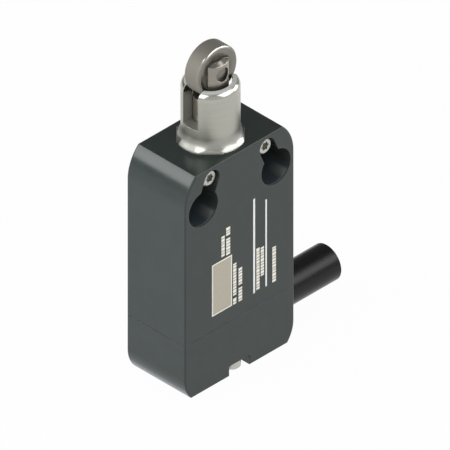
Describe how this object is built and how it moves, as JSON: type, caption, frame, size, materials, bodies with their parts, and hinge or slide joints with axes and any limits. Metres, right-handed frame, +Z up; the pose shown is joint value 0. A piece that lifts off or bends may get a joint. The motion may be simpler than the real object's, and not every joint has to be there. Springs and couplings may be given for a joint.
{
  "type": "roller plunger limit switch",
  "caption": "Compact pre-wired limit switch with a steel roller on a spring-returned plunger, guided in a slotted steel sleeve, and a cable stub at the side.",
  "frame": {"origin": "centre of the case's flat bottom face", "axes": "+Z up along the plunger towards the roller, +X to the side where the cable leaves, +Y to the back, towards the mounting surface"},
  "size_m": [0.047, 0.016, 0.0738],
  "materials": {
    "case_paint": "fine matt powder coat, dark grey-green",
    "guide_steel": "satin turned steel",
    "piston_steel": "satin ground steel",
    "roller_steel": "hardened steel, satin",
    "pin_steel": "ground steel",
    "screw_steel": "zinc-plated steel",
    "spring_steel": "drawn wire",
    "seal_rubber": "nitrile rubber",
    "block_plastic": "moulded, glass filled",
    "lid_plastic": "moulded, amber",
    "carrier_plastic": "moulded, natural",
    "contact_brass": "stamped strip with silver tips",
    "cable_black": "extruded black sheath, satin",
    "core_black": "core insulation, black",
    "core_brown": "core insulation, brown",
    "core_blue": "core insulation, blue",
    "core_grey": "core insulation, grey",
    "core_earth": "core insulation, green and yellow",
    "conductor_copper": "bare copper"
  },
  "bodies": {
    "case": {"housing": "case_paint", "bottom_cover": "case_paint", "guide_sleeve": "guide_steel", "head_screw_left": "screw_steel", "head_screw_right": "screw_steel", "cover_screw_front": "screw_steel", "cover_screw_rear": "screw_steel", "earth_screw": "screw_steel", "cable_crimp_ring": "screw_steel", "earth_lug": "screw_steel", "return_spring": "spring_steel", "cover_gasket": "seal_rubber", "sleeve_o_ring": "seal_rubber", "plunger_seal": "seal_rubber", "cable_grommet": "seal_rubber", "contact_block_base": "block_plastic", "contact_block_lid": "lid_plastic", "nc_terminal_left": "contact_brass", "nc_terminal_right": "contact_brass", "no_terminal_left": "contact_brass", "no_terminal_right": "contact_brass", "cable_sheath": "cable_black", "core_nc_left": "core_black", "core_nc_right": "core_brown", "core_no_left": "core_blue", "core_no_right": "core_grey", "core_earth": "core_earth", "conductor_nc_left": "conductor_copper", "conductor_nc_right": "conductor_copper", "conductor_no_left": "conductor_copper", "conductor_no_right": "conductor_copper", "conductor_earth": "conductor_copper"},
    "plunger": {"piston": "piston_steel", "axle_pin": "pin_steel", "contact_carrier": "carrier_plastic", "carrier_clip": "screw_steel"},
    "wheel": {"roller": "roller_steel"},
    "bridge": {"contact_bridge": "contact_brass", "contact_spring": "spring_steel"}
  },
  "joints": [
    {"name": "plunger_slide", "type": "slide", "parent": "case", "child": "plunger", "axis": [0, 0, -1], "range_m": [0, 0.0055], "stiffness_N_per_m": 400, "springref_m": -0.015, "deforming": ["return_spring", "contact_spring"]},
    {"name": "roller_spin", "type": "hinge", "parent": "plunger", "child": "wheel", "pos_m": [0, 0, 0.0683], "axis": [0, 1, 0], "continuous": true},
    {"name": "bridge_slide", "type": "slide", "parent": "case", "child": "bridge", "axis": [0, 0, -1], "range_m": [0, 0.00121]}
  ],
  "couplings": [
    {"joint": "bridge_slide", "follows": "plunger_slide", "ratio": 0.21818}
  ]
}
